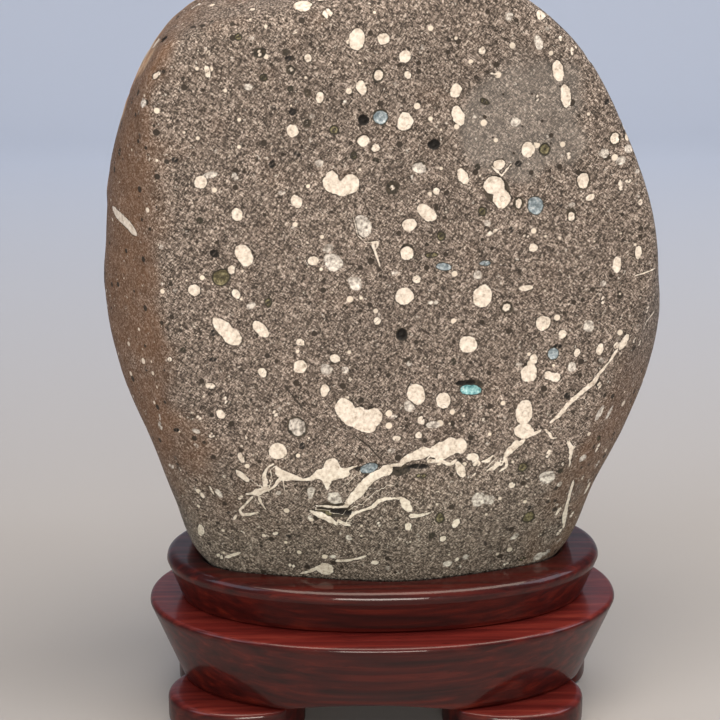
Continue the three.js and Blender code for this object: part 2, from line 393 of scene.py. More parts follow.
# %% Stone: the larger amygdules
CREAM = [
    # along the top
    (-61, 250, 2.3, 4), (-28.5, 252, 5.6, 5.6), (-21.5, 250, 3.4, 3, 30), (45, 248.5, 3.2, 3.4),
    (-12.5, 241.5, 4.8, 6.6), (-4.5, 242, 3.6, 3.6), (2.5, 236.5, 3.8, 3.8), (-28, 236, 2.2, 2.4),
    (26, 238, 2.2, 2.2), (51, 241, 1, 1.8), (54.5, 237, 1, 3), (-58, 232.5, 1.6, 4, 12),
    (-42.5, 238, 1.3, 2), (-33, 233, 1.4, 1.4), (-6, 230.5, 2.8, 3.2), (3, 230.5, 1.8, 2.6, 20),
    (30, 230.5, 4.6, 0.7, -8), (50, 231, 3.4, 6.8, 14),
    # upper third
    (53, 223.5, 3.2, 7.2, 10), (-11.5, 227, 3, 4.4, 25), (-24, 224.5, 2.4, 3.6), (-28, 225.5, 1, 1),
    (18, 226, 3.4, 4.6, -20), (44, 222.5, 1.2, 2), (2, 216.5, 4.8, 5.8), (19, 217.5, 3.6, 6.4, 25),
    (-28, 216.5, 1.1, 1.1), (-33, 214, 3.4, 4.2, 20), (-11, 210.5, 3.6, 3.6), (-6.5, 208, 2.6, 2.4),
    (69, 209.5, 3, 3.4), (41.5, 207, 4.4, 4.6), (54, 204.5, 1.3, 2.2), (-77.5, 206.5, 1, 2.2, 20),
    # above the middle
    (-61.5, 198.5, 3.8, 4), (-20.5, 198, 5.2, 6.4), (-18, 196, 6, 4.6), (-15, 197, 5.2, 6),
    (-1.5, 196, 1.6, 1.6), (20.5, 199, 3, 5.6, 25), (32, 202.5, 3.6, 3.2), (31, 195.5, 7, 5.6),
    (33, 191.5, 5.4, 6, 10), (12.5, 194, 2.2, 2.2), (59, 196.5, 3.8, 4.8), (61.5, 191.5, 3.2, 1.7, 25),
    (71.5, 195, 1.2, 3.6, 12), (-31.5, 192, 3.2, 4.6, 28), (-50, 188, 3.2, 4.2, 25),
    (38.5, 189.5, 1.8, 3), (55.5, 185.5, 2.4, 2.8), (9.5, 187.5, 7.2, 4.2, -37), (3.5, 183.5, 4.6, 4),
    (17, 184.5, 1.4, 1.4), (30.5, 181, 4, 1.2, 28), (78, 189, 1.4, 2),
    # middle
    (-48.5, 175, 5, 7.4, 25), (-52.5, 171, 2.2, 2.6), (-27, 173, 3.8, 2.9), (3, 174.5, 4.4, 4.2),
    (41.5, 179, 2, 1.4), (43.5, 175.5, 3, 2.8), (6, 166, 2.8, 2.6), (2.5, 160.5, 5.8, 5.8),
    (28, 160, 6, 7.6), (41.5, 162, 4.4, 1.8), (71.5, 169, 2.8, 5.8), (78.5, 173, 2.2, 4.4),
    (-64, 164.5, 3.8, 3.8), (-51, 162.5, 2.2, 3.6, 30),
    # below the middle
    (-54.5, 151, 11.5, 4.4, -47), (-52.5, 148.5, 6, 5, -47), (-43.5, 151, 3.6, 6.6, 38),
    (-65, 152.5, 0.9, 2, 35), (-47.5, 145.5, 1.3, 1.2), (-43, 136.5, 2.6, 3.4, 30),
    (-60, 132.5, 3.2, 1.9, -15), (-8.5, 156, 1.2, 1.2), (-6, 153, 2.4, 2.3), (35.5, 155.5, 2.6, 2.6),
    (47.5, 150, 4.8, 4.8), (54, 146, 2.8, 2.9), (-31, 146.5, 2.6, 2.2, -30), (-31, 138.5, 4.4, 4.2),
    (-20, 141, 3.4, 2.6, -30), (23, 143.5, 5.6, 5.8), (44.5, 142.5, 1.3, 1.3), (59, 140, 2, 3, -15),
    (67, 140.5, 2.4, 3.8, -12), (67, 157.5, 1.4, 2.4), (75, 143, 2.3, 6, -27), (72, 141.5, 1.6, 2),
    (-23, 130, 2.8, 4), (83, 152.5, 1.4, 2.8), (82.5, 147, 1, 3, -25), (79, 142.5, 1.4, 2.4, -20),
    (81.5, 140.5, 1.8, 2.4, -20), (43, 133.5, 5.6, 5.6), (45, 138, 2.4, 3.6), (49.5, 132.5, 2.8, 2.8),
    (52.5, 131.5, 3.4, 3),
    # lower third
    (6.5, 128, 5.6, 7.4, 28), (15.5, 125.5, 4.6, 5.6), (67, 128.5, 1.3, 2.6), (-55.5, 128, 1.2, 2.6, 10),
    (-57, 123, 2.6, 3.6, 35), (-66, 123.5, 1, 1), (-66.5, 121.5, 1.3, 1.2), (-64, 122, 1.2, 2, 30),
    (-39.5, 123, 1.3, 2.8, 15), (-17, 123.5, 6.4, 6.8), (-14, 119.5, 9.4, 5, -28),
    (-12.5, 121.5, 4, 4), (-8, 120.5, 7.2, 6),
    (-9.5, 117, 6, 3.6, -10), (8.5, 118.5, 2.2, 3, 10), (7.5, 113.5, 2.4, 2.2), (0, 112.5, 2.8, 2),
    (42.5, 120, 5.8, 8), (42, 113.5, 6.6, 5.2), (50, 119.5, 1.2, 1.8), (-39, 110, 5.6, 6),
    (-49, 115, 1.2, 1.6), (-50.5, 111.5, 1.3, 1.2),
    # low on the face
    (-50.5, 107.5, 1.6, 4, 22), (-50.5, 101, 2, 6.2, 42), (-21.5, 104, 5.6, 5.6), (-20, 101, 8, 4),
    (-3, 101.5, 4.2, 4), (14.5, 108, 7.4, 6), (18, 109.5, 5.4, 6), (21, 109.5, 4.2, 5.4),
    (21.5, 101, 2.8, 6.2, 25), (25.5, 105, 4, 2.6), (26.5, 103.5, 2, 3.4), (40, 104.5, 1.6, 1.2),
    (50.5, 105, 1.3, 2.8, -15), (69.5, 103.5, 1.6, 4, -20), (3.5, 89, 3, 6.2, 35), (39, 94.5, 2.2, 2.2),
    (68.5, 86, 2.4, 5, -15), (-63.5, 91.5, 1.4, 2.6, 15), (-60.5, 94, 0.6, 4.4, 15),
    (56.5, 81, 1.3, 3.4, -20), (-6, 82.5, 1.5, 2, 20), (4, 81.5, 2.2, 3, 15), (20.5, 81.5, 2.4, 3.6, -15),
    (44.5, 89, 1.6, 0.8, 15),
    # near the seat
    (-64.5, 76, 2.8, 5, -15), (-50, 78, 1, 2.5, 20), (-58, 65.5, 3, 2.6), (-34, 64.5, 2.8, 2.2),
    (-41.5, 61.5, 1.6, 1), (-22.5, 64, 6, 5.4), (-6.5, 67.5, 2.4, 2), (4, 75.5, 1.6, 1.4),
    (16, 76.5, 2.2, 2.2), (50.5, 72.5, 1.6, 2.4), (53, 74, 1, 3, -20), (58.5, 71, 1.8, 4, -20),
    (62.5, 77.5, 1.6, 3, -30), (39.5, 62.5, 2.4, 1.4),
]
SMOKY = [  # part zeolite, part quartz: grey and cloudy
    (34.5, 248, 2.2, 3), (44, 240, 2.6, 4.8, 20), (37, 215.5, 3, 2.8), (-58.5, 201, 4.5, 2, 10),
    (-24.5, 204, 2.8, 2.4), (7, 201.5, 4.2, 3.4, -15), (56, 189, 2, 1.6), (29, 183.5, 2, 2),
    (-11, 183.5, 5, 7, 25), (-21.5, 177, 3.2, 2.6), (-20.5, 172.5, 6.2, 5.2, -25),
    (-13.5, 165.5, 3.8, 5, 25), (26, 166.5, 2.8, 2.8), (11.5, 158.5, 3.4, 1.2), (63, 149, 3.4, 4),
    (67, 163, 1.8, 2.2, -30), (-32.5, 118, 6.2, 5, -45), (4, 123.5, 3, 4, 20), (-1, 120.5, 2.4, 1.6, 20),
    (12, 117, 4.6, 2.4), (-2, 108.5, 2.4, 1.8), (-28, 94.5, 2.2, 4), (-20, 92.5, 5.2, 4, -25),
    (51, 96.5, 5.4, 5), (55.5, 93, 2, 2), (27.5, 90, 5, 5), (31.5, 90, 3.2, 3.4), (-58, 93, 2, 4, 30),
    (-76.5, 116, 2, 3.6, 20), (68, 118, 2.2, 6, -25), (72, 117, 2, 5, -25), (71, 96, 1.5, 3, -20),
    (18, 65.5, 3, 2.6), (24.5, 67.5, 2, 2.2), (22, 63.5, 2, 1.6), (51.5, 62, 4, 4), (55, 62.5, 3, 3),
    (-15.5, 77.5, 1.5, 2.5, 30), (-21, 69.5, 2.4, 1.4),
]
BLUE = [  # clear blue-grey chalcedony
    (-5, 217.5, 4.6, 4), (44.5, 189, 4.8, 5.8), (15, 170, 5, 2.2, -10), (28, 171, 3.4, 1.6),
    (51.5, 140, 3.4, 4), (-9, 102.5, 6, 3.2, 15),
]
COPPER = [  # copper has tinted this one green-blue
    (24, 128.5, 7, 3.2, -5),
]
OLIVE = [  # clay minerals, olive with a dark rim
    (-48.5, 243, 2.5, 2.5), (-41, 231, 2.6, 2.4), (-33, 227, 2, 2), (-20, 214, 3.2, 3.2),
    (25, 201.5, 2, 2), (46.5, 207, 3.8, 4.2), (27.5, 187.5, 3.2, 3.2), (-62, 187, 2.4, 2),
    (14, 180, 3, 3.4), (11, 173.5, 4.4, 2), (-56, 168, 6, 5.8), (-41, 160, 2.6, 3.2),
    (-17, 157, 2, 1.8), (42.5, 101, 3.8, 3.4), (55.5, 98.5, 2, 2), (8.5, 99.5, 4, 2),
    (-23.5, 87, 6.5, 3, -15), (15, 84, 3.2, 4.4), (45.5, 81, 4.8, 5), (12, 77.5, 2.4, 2.4),
    (45.5, 63, 3, 2.4),
]
HOLLOW = [  # bubbles that stayed empty, and strips of painted shade by the veins
    (-32.5, 220, 2.5, 2.3), (-10.5, 217, 3.6, 3.6), (-21, 220.5, 1.3, 1.3), (11.5, 209, 4.2, 3.4),
    (-39, 204, 1.9, 2.8), (-38.5, 208, 1.6, 1.6), (34.5, 221, 1.3, 1.3), (35.5, 218.5, 1.4, 1.4),
    (38, 202.5, 2.4, 2), (42, 199, 1.8, 1.6), (61.5, 218, 1.5, 1.5), (51.5, 189, 2, 1.6),
    (-57.5, 176, 3.2, 2.6, -30), (-59, 150, 1.8, 2.4), (1.5, 147.5, 3.6, 3.8), (52.5, 142.5, 3, 1.6),
    (22.5, 131, 6.6, 1.8), (56, 125.5, 2.2, 2.2), (-31, 111.5, 2, 2.6), (7, 103, 7.5, 1.8, -5),
    (-12, 102.5, 3, 1.6), (3, 101.5, 2.2, 1.8), (-18, 87.5, 8, 2, -8),
]
HALO_AND_SHADE = [  # dark rings round some, and painted shade by the veins: dark discs beneath
    (-42.5, 238, 4, 3.4), (-34, 238, 2.3, 2.3), (-33, 233, 3, 3), (-28, 225.5, 2.5, 2.5),
    (-28, 216.5, 2.8, 2.8), (-6, 230.5, 3.8, 4.8), (69, 209.5, 4.2, 4.4), (-1.5, 196, 4.4, 4.4),
    (38.5, 189.5, 3.6, 4.4), (59, 196.5, 4.8, 5.8), (35.5, 155.5, 4.2, 4.2), (1.5, 147.5, 4.2, 4.4),
    (-32.5, 118, 7.6, 6.4, -45), (3, 176, 4.4, 3.4), (47.5, 150.5, 5.2, 5), (55.5, 186, 3.4, 3.6),
    (31.5, 194, 8, 9.6, 10), (-5.5, 219.5, 4.4, 2.6), (-11, 211.5, 4, 3), (7, 203, 4, 1.6),
    (-20, 88.5, 11, 6, -10), (1, 102, 8, 4), (24, 130, 8, 4),
]

# %% [markdown]
# ## Veins
#
# A vein is a crack that the same mineral filled, and a crack that stayed open is a thin dark line.
# Each is given as a route: across, up and half-width in mm at each point. A distance would be lost
# between the points of the mesh on so thin a line. How far a point lies to the left or right of the
# line changes evenly, so that is stored instead, with the half-width, and the material compares them.

# %% Stone: veins and cracks
VEINS = [
    # the tangle low on the left
    [(-40.5, 105.5, 0.3), (-42.5, 104, 0.35), (-43.5, 101, 0.6), (-43, 98.5, 0.9), (-43, 96, 0.6)],
    [(-39.5, 104.5, 0.3), (-38.5, 102.5, 1.4), (-36, 100.5, 1.6), (-33, 100, 0.9), (-30.5, 99.5, 0.4),
     (-28, 100, 0.8), (-25.5, 101, 1.8), (-22, 101.5, 2.8)],
    [(-37.5, 100.5, 0.7), (-40, 97, 0.5), (-41.5, 95.5, 0.3)],
    # the small star beside it
    [(-49, 93.5, 0.4), (-47.5, 94, 0.6), (-45.5, 94.5, 1.5), (-42.5, 96, 0.5)],
    [(-45, 92.5, 0.6), (-44, 90, 0.4), (-43, 88, 0.3)],
    [(-47, 92.5, 0.4), (-50, 89, 0.35), (-51.5, 86.5, 0.4), (-50.5, 85, 0.7), (-48, 85.5, 0.6),
     (-45.5, 86.5, 0.3)],
    [(-53, 83, 0.6), (-52.5, 84.5, 0.4)],
    # spikes of the thick place, and slips of white round the dark hollow
    [(-22.5, 99.5, 1.8), (-22.5, 97.5, 1), (-23, 95.5, 0.2)],
    [(-18, 101.5, 1.2), (-15.5, 102.5, 0.5), (-13, 103.5, 0.3)],
    [(-26.5, 89.5, 0.3), (-21, 89, 0.4), (-16, 89.5, 0.3)],
    [(-28.5, 88, 0.4), (-25.5, 86, 1.1), (-21.5, 84, 0.9), (-19.5, 82.5, 0.4)],
    [(-19, 84.5, 0.5), (-16.5, 83, 0.7), (-15.5, 82.5, 0.3)],
    # the band that rises to the right, and the thin curve below it
    [(-17, 89.5, 0.5), (-15, 92, 1.5), (-12.5, 94.5, 1.8), (-11, 97, 1.7), (-8, 99, 1.5),
     (-5, 101, 1.5), (-3, 101.5, 1.6)],
    [(-1.5, 103.5, 0.4), (1.5, 103.5, 0.7), (2.5, 105.5, 1), (7, 107, 1.8), (10, 108, 2)],
    [(10.5, 104.5, 0.7), (14.5, 104, 0.6), (18, 102.5, 0.6), (20, 104, 0.5)],
    [(-16, 84.5, 0.4), (-14, 87, 0.5), (-10.5, 88, 0.4), (-8, 89, 0.5), (-6, 91, 0.7),
     (-3, 92, 0.6), (-1, 91.5, 0.3), (1.5, 91.5, 0.5)],
    [(5, 85.5, 0.8), (8.5, 85.5, 0.5), (11.5, 86, 0.25)],
    # loose ends and loops below the double spot
    [(25.5, 98.5, 0.3), (26.5, 99.5, 0.3)],
    [(29, 103.5, 0.4), (30.5, 104, 0.6), (31.5, 105, 0.4)],
    [(30, 100.5, 0.3), (32.5, 101.5, 0.8), (33.5, 102.5, 0.7), (35, 102, 0.4)],
    [(35.5, 104.5, 0.4), (37, 103, 0.6), (37, 101, 0.5), (34.5, 100, 0.3)],
    [(39.5, 110.5, 0.5), (37.5, 108, 0.35), (35.5, 105, 0.3)],
    [(42, 110, 0.7), (39.5, 107.5, 0.7), (37, 105, 0.5)],
    # up to the right edge
    [(45, 112, 0.6), (47.5, 113.5, 0.3)],
    [(49.5, 114, 0.4), (51, 112.5, 0.5), (52, 111, 0.4), (53.5, 110.5, 0.2)],
    [(51, 116, 0.4), (54, 119, 0.6), (56.5, 122, 0.7), (60.5, 125.5, 0.7), (65, 129.5, 0.8),
     (67, 132, 0.5), (70, 136, 0.35), (72.5, 140, 0.5)],
    [(83, 148, 0.3), (86.5, 150, 0.6)],
    [(77.5, 165, 0.25), (85, 166.5, 0.25)],
    # down the right side and along the foot
    [(57, 109, 0.5), (58.5, 106.5, 0.9), (58.5, 103, 0.5), (58.5, 99.5, 0.3)],
    [(60, 107, 0.4), (59, 106.5, 0.4)],
    [(61, 93, 0.4), (60.5, 88.5, 0.8), (60, 83.5, 0.6), (59.5, 78, 1.2), (60.5, 72.5, 0.4)],
    [(-31.5, 60.5, 0.4), (-28.5, 61.5, 0.6), (-25, 64, 0.8)],
    [(-19.5, 67, 0.6), (-16, 68, 0.5), (-12, 69, 0.4), (-10, 70, 0.3)],
    [(-56, 65.5, 0.7), (-52, 68, 0.6)],
    # one thick one on the left bevel
    [(-89.5, 187, 0.8), (-88, 185, 1.5), (-85, 183, 1.5), (-82.5, 181, 1.3)],
    # thin white edges of broken bubbles
    [(-14, 186.5, 0.1), (-12.5, 181, 0.15), (-10, 178.5, 0.1)],
    [(-9, 178, 0.1), (-6.5, 178.5, 0.3), (-6, 177, 0.1)],
    [(-8, 177.5, 0.4), (-7, 175, 0.3), (-5.5, 171, 0.1)],
    [(30, 202, 0.2), (33, 198.5, 0.3), (36, 202.5, 0.2)],
]
CRACKS = [
    [(-36, 131.5, 0.2), (-30.5, 124.5, 0.25)],
    [(-13.5, 114.5, 0.2), (-9, 110, 0.3), (-5, 105, 0.2)],
]

# %% Stone: distances to the markings
FAR = 6.0  # mm; beyond this a distance is of no use
MELT = 0.9  # mm; closer than this, two spots flow into one
spot_shapes = np.random.default_rng(7)


def place_on_face(x, z):
    """Number of the point on the front of the stone that lies nearest to a place across and up."""
    away = (skin[:, 0] - x) ** 2 + (skin[:, 2] - z) ** 2
    away[skin_normals[:, 1] > 0.1] = FAR ** 4
    return int(away.argmin())


def tangents(normal, tilt):
    """Two unit axes along the surface, turned by the tilt: the first runs across and the second up."""
    across = np.cross(normal, (0.0, 0.0, 1.0)) if abs(normal[2]) < 0.9 else np.array([1.0, 0, 0])
    across = across / np.linalg.norm(across)
    across = across if normal[1] > 0 or across[0] > 0 else -across
    up = np.cross(across, normal)
    up = up if up[2] > 0 else -up
    return math.cos(tilt) * across + math.sin(tilt) * up, math.cos(tilt) * up - math.sin(tilt) * across


def lower_by_spot(field, index, width, height, tilt=0.0, wobble=0.075):
    """Lowers a distance field to one ellipsoid's. With k0 the length of the place over the radii
    and k1 that of the place over the squared radii, the distance is about k0 (k0 - 1) / k1. The
    radii swell and shrink round the outline by small waves, so no two spots are alike. Where two
    distances are nearly equal, the smaller one is lowered a little more, so that the spots melt."""
    centre, normal = skin[index], skin_normals[index]
    reach = max(width, height) / 2 + FAR
    near = np.nonzero(np.abs(skin - centre).max(axis=1) < reach)[0]
    offset = skin[near] - centre
    across, up = tangents(normal, math.radians(tilt))
    local = np.stack([offset @ across, offset @ up, offset @ normal], axis=1)
    around = np.arctan2(local[:, 1], local[:, 0])
    phases = spot_shapes.uniform(0, 2 * math.pi, 4)
    waves = sum(np.sin(n * around + phase) / n for n, phase in zip((2, 3, 4, 5), phases))
    radii = np.array([width, height, min(width, height)]) / 2 * (1 + wobble * waves[:, None])
    k0 = np.linalg.norm(local / radii, axis=1)
    k1 = np.linalg.norm(local / radii ** 2, axis=1) + 1e-9
    distance = k0 * (k0 - 1) / k1
    shared = np.maximum(MELT - np.abs(field[near] - distance), 0)
    field[near] = np.minimum(field[near], distance) - shared ** 2 / (4 * MELT)


def line_fields(routes):
    """For each point: how far it lies to one side of the nearest line, and the half-width there.
    Past the end of a stretch the half-width shrinks by as much as the point lies beyond it."""
    aside = np.full(len(skin), FAR)
    half_width = np.full(len(skin), -FAR)
    for route in routes:
        stops = [place_on_face(x, z) for x, z, _ in route]
        for start, end, (*_, a), (*_, b) in zip(stops, stops[1:], route, route[1:]):
            along = skin[end] - skin[start]
            length = np.linalg.norm(along) + 1e-9
            along = along / length
            sideways = np.cross(along, skin_normals[start])
            middle = (skin[start] + skin[end]) / 2
            near = np.nonzero(np.abs(skin - middle).max(axis=1) < length / 2 + FAR)[0]
            offset = skin[near] - skin[start]
            forward = offset @ along
            side = offset @ sideways
            beyond = np.maximum(np.maximum(-forward, forward - length), 0)
            half = a + (b - a) * np.clip(forward / length, 0, 1) - beyond
            closer = np.abs(side) - half < np.abs(aside[near]) - half_width[near]
            aside[near[closer]] = side[closer]
            half_width[near[closer]] = half[closer]
    return aside, half_width


def field_of(spots):
    """Distance in mm from each point to the nearest edge of a list of spots."""
    field = np.full(len(skin), FAR)
    for x, z, width, height, *tilt in spots:
        lower_by_spot(field, place_on_face(x, z), width, height, *tilt)
    return field


marks = {
    "cream": field_of(CREAM), "smoky": field_of(SMOKY), "blue": field_of(BLUE),
    "copper": field_of(COPPER), "olive": field_of(OLIVE), "hollow": field_of(HOLLOW),
    "halo_and_shade": field_of(HALO_AND_SHADE),
}
marks["vein_side"], marks["vein_half"] = line_fields(VEINS)
marks["crack_side"], marks["crack_half"] = line_fields(CRACKS)
vein = np.abs(marks["vein_side"]) - marks["vein_half"]
print("points inside:", {name: int((field < 0).sum()) for name, field in marks.items()})

# %% [markdown]
# ## The many small ones
#
# Between the large spots and all over the hidden sides lie hundreds of small ones. Nobody would
# place them by hand, so a seeded random draw picks points of the mesh. Small ones are far more
# common than large ones, as in real lava, and a spot that would land on a large one is skipped.

# %% Stone: small amygdules and pits
small = np.random.default_rng(21)
front = (skin_normals[:, 1] < -0.1).astype(float)
behind = 1.0 - front
placed = ("cream", "smoky", "blue", "copper", "olive", "hollow")
nearest = np.minimum.reduce([vein] + [marks[name] for name in placed])


def scatter(name, count, smallest, largest, where):
    """Adds spots at random points. A size is the smallest one divided by a power of a random share,
    which makes many small spots and few large ones."""
    chosen = small.choice(len(skin), count, replace=False, p=where / where.sum())
    for index in chosen:
        size = min(largest, smallest / (1 - small.random()) ** 0.45)
        stretch = small.uniform(0.75, 1.35)
        tilt = small.uniform(0, 180)
        if nearest[index] > size:
            lower_by_spot(marks[name], index, size * stretch, size / stretch, tilt, 0.12)


scatter("cream", 60, 0.9, 1.7, front)
scatter("smoky", 110, 1.1, 3, front)
scatter("hollow", 70, 1.0, 2.0, front)
scatter("olive", 26, 1.5, 2.6, front)
scatter("cream", 190, 2.4, 8, behind)
scatter("smoky", 60, 2.4, 6, behind)
scatter("hollow", 150, 1.4, 3.6, behind)
scatter("olive", 30, 2.2, 4, behind)
print("cream now covers", (marks["cream"] < 0).mean().round(3), "of the points")

# %% [markdown]
# ## Relief
#
# A real pit catches a shadow and has an edge, so pits are cut into the mesh and not only drawn.
# The fillings are a little softer than the basalt and lie a hair lower. The ground faces stay flat
# to a tenth of a millimetre, and the natural skin on the back and the top is lumpy. Each is a depth
# along the normal, in mm. Finer relief than the grid can carry is left to the material's bump.

# %% Stone: relief and masks
PATCH_CENTRE, PATCH_REACH = (40, 216), (19, 18)  # mm, of the smoother round patch at the top right
facing = skin_normals[:, 1]
natural = smoothstep(-0.14, 0.06, facing + 0.1 * rough(skin, 9, 6))
above_seat = smoothstep(58, 76, skin[:, 2])
lump = 0.9 * rough(skin, 16, 1) + 0.45 * rough(skin, 7, 2) + 0.25 * rough(skin, 3, 3)
wear = 0.10 * rough(skin, 11, 4) + 0.05 * rough(skin, 4, 5)
pit = 1.6 * smoothstep(0, 1.2, -marks["hollow"])
sunk = 0.15 * smoothstep(0, 0.8, -marks["cream"]) + 0.25 * smoothstep(0, 0.9, -marks["smoky"])
sunk += 0.6 * smoothstep(0, 1.0, -np.minimum(marks["blue"], marks["copper"]))
sunk += 0.6 * smoothstep(0, 1.4, -marks["olive"])
sunk += 0.35 * smoothstep(0, 1.0, -marks["halo_and_shade"])
height = 0.7 * natural * above_seat * (lump - 0.4) + (1 - natural) * wear - pit - sunk
relief = skin + skin_normals * height[:, None]

cosine, sine = math.cos(STONE_TURN), math.sin(STONE_TURN)
stone_points = np.stack([
    relief[:, 0] * cosine - relief[:, 1] * sine,
    relief[:, 0] * sine + relief[:, 1] * cosine,
    relief[:, 2],
], axis=1)
stone = add_mesh("stone_fine", stone_points, stone_triangles)

height_up = skin[:, 2]
left = smoothstep(0.05, 0.95, -skin_normals[:, 0] + 0.3 * rough(skin, 8, 7)) * smoothstep(70, 110, height_up)
right = smoothstep(0.25, 0.7, skin_normals[:, 0] + 0.2 * rough(skin, 8, 8)) * smoothstep(150, 110, height_up)
rim = smoothstep(0.15, 0.5, skin_normals[:, 2] + 0.2 * rough(skin, 7, 9))
from_patch = np.hypot(*((skin[:, [0, 2]] - PATCH_CENTRE) / PATCH_REACH).T)
marks["natural"] = natural
marks["rind"] = natural * np.maximum(rim, 0.9 * smoothstep(0.1, 0.5, rough(skin, 22, 11)))
marks["warm"] = (1 - natural) * np.maximum(left, 0.7 * right)
marks["fine_patch"] = smoothstep(1.2, 0.9, from_patch + 0.2 * rough(skin, 8, 12))
# the front is tinted a little darker and cooler from about 118 mm down to the seat
marks["damp"] = smoothstep(118, 66, height_up + 9 * rough(skin, 14, 10)) * front
for name, values in marks.items():
    add_attribute(stone, name, values)

# %% [markdown]
# ## The basalt's finish
#
# Basalt is a dark lava of interlocked grains: pale feldspar needles and near-black augite, about half
# a millimetre across. Ground but not polished, it looks like salt and pepper, matt, a little warm.
# An image would repeat or blur on so large a face, so patterns on Object coordinates make the grain:
# two sets of stretched crystals that lean to either side, and a noise. A Mapping node of the kind
# Texture divides by its scale, so its scale is the size of a crystal. Over the grain come slow
# changes of tone, specks and pits, then the markings, each drawn where its distance is below zero.

# %% Material: the grain
def per_mm(size):
    """Pattern scale that makes one cell of the given size in mm, as coordinates are in metres."""
    return 1 / (size * MM)


def grain_of(tree, place):
    """A value from 0 to 1 that jumps from crystal to crystal: the mean of two sets of needles,
    0.85 mm by 0.36 mm, and a fine noise."""
    sets = []
    for lean in (38, -52):
        turned = add(tree, "Mapping", {
            "Vector": place, "Rotation": (0, math.radians(lean), 0),
            "Scale": (0.85 * MM, 0.45 * MM, 0.36 * MM),
        }, vector_type="TEXTURE")
        crystal = add(tree, "TexVoronoi", {"Vector": turned, "Scale": 1.0})
        sets.append(add(tree, "SeparateColor", {"Color": crystal.outputs["Color"]}))
    needles = add(tree, "Mix", {"Factor": 0.5, "A": sets[0], "B": sets[1]})
    fine = add(tree, "TexNoise", {"Vector": place, "Scale": per_mm(0.42), "Detail": 2.0,
                                  "Roughness": 0.6})
    return add(tree, "Mix", {"Factor": 0.4, "A": needles, "B": fine})


# %% Material: a mask from a stored distance
def filled(tree, distance, jitter, amount, blur=0.1, inset=0.0):
    """1 where a distance in mm is under the inset, and 0 beyond it, with an edge of the given blur.
    The jitter, from about -0.5 to 0.5, moves the edge in and out by the amount in mm."""
    moved = add(tree, "Math", {0: jitter, 1: amount, 2: distance}, operation="MULTIPLY_ADD")
    return add(tree, "MapRange", {"Value": moved, "From Min": inset + blur, "From Max": inset - blur})


def specks_of(tree, place, spacing, largest):
    """1 inside scattered dots: one in each cell of the spacing in mm, with a radius of the largest
    share of a cell times a random share to the fourth power, so that most are tiny."""
    cells = add(tree, "TexVoronoi", {"Vector": place, "Scale": per_mm(spacing)})
    share = add(tree, "SeparateColor", {"Color": cells.outputs["Color"]})
    power = add(tree, "Math", {0: share, 1: 4.0}, operation="POWER")
    radius = add(tree, "Math", {0: power, 1: largest}, operation="MULTIPLY")
    inside = add(tree, "Math", {0: radius, 1: cells.outputs["Distance"]}, operation="SUBTRACT")
    return add(tree, "MapRange", {"Value": inside, "From Min": -0.03, "From Max": 0.02})


